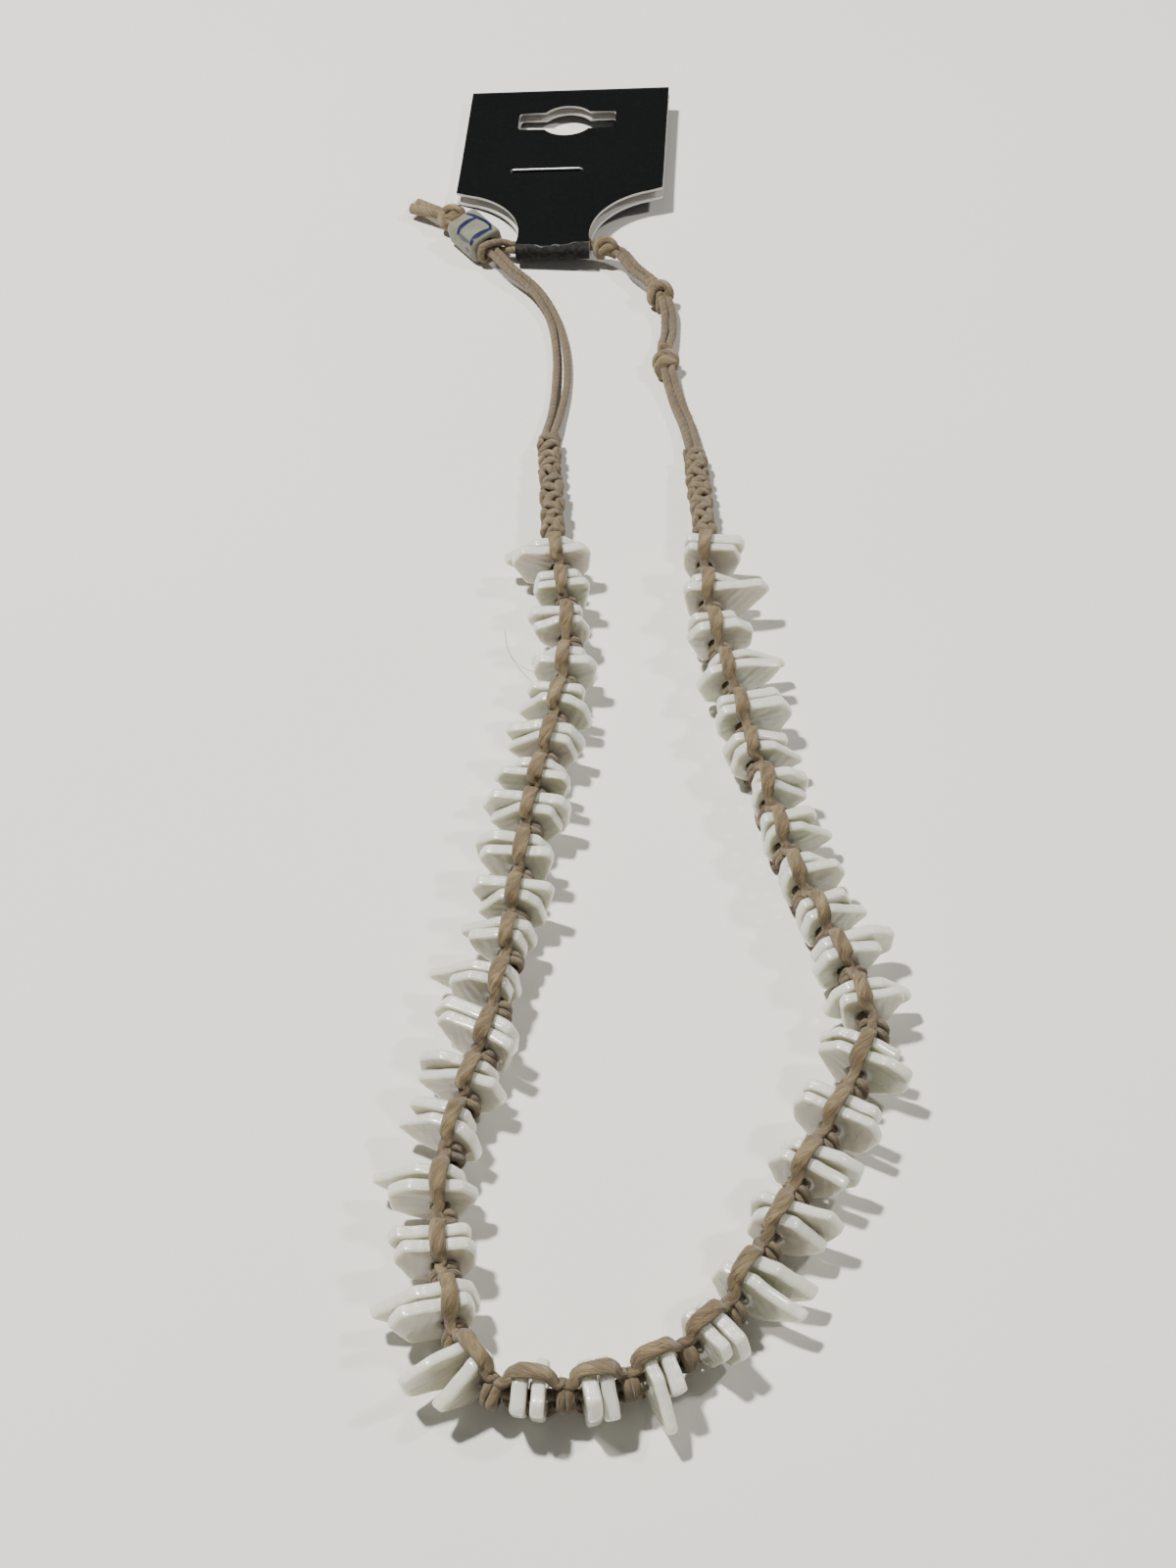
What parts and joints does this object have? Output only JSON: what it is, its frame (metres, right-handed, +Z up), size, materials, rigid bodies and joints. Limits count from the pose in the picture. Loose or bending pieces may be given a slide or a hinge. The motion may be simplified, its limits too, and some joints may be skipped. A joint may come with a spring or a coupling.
{
  "type": "shell necklace on a hang card",
  "caption": "Closed necklace of cut shell chips knotted in pairs on hemp, with braided ends, a ceramic bead and knotted loop clasp, on a small folded hang card.",
  "frame": {"origin": "on the surface that it lies on, under the middle of the whole outline", "axes": "+Y from the bottom of the necklace towards the card, +Z up, +X to the right"},
  "size_m": [0.0689, 0.2644, 0.0083],
  "materials": {
    "shell": "polished",
    "hemp": "natural twisted fibre",
    "bead": "gloss with blue lines",
    "card": "matte black front, white inside and edges",
    "wire": "bright"
  },
  "bodies": {
    "root": {"shells_left": "shell", "shells_right": "shell", "knotted_strands_left": "hemp", "knotted_strands_right": "hemp", "core_cord": "hemp", "left_braid": "hemp", "right_braid": "hemp", "bead_ties": "hemp", "loop_tie": "hemp", "right_knot_lower": "hemp", "right_knot_middle": "hemp", "right_knot_upper": "hemp", "stop_knot": "hemp", "ceramic_bead": "bead", "hang_card": "card", "staple": "wire"}
  },
  "joints": []
}
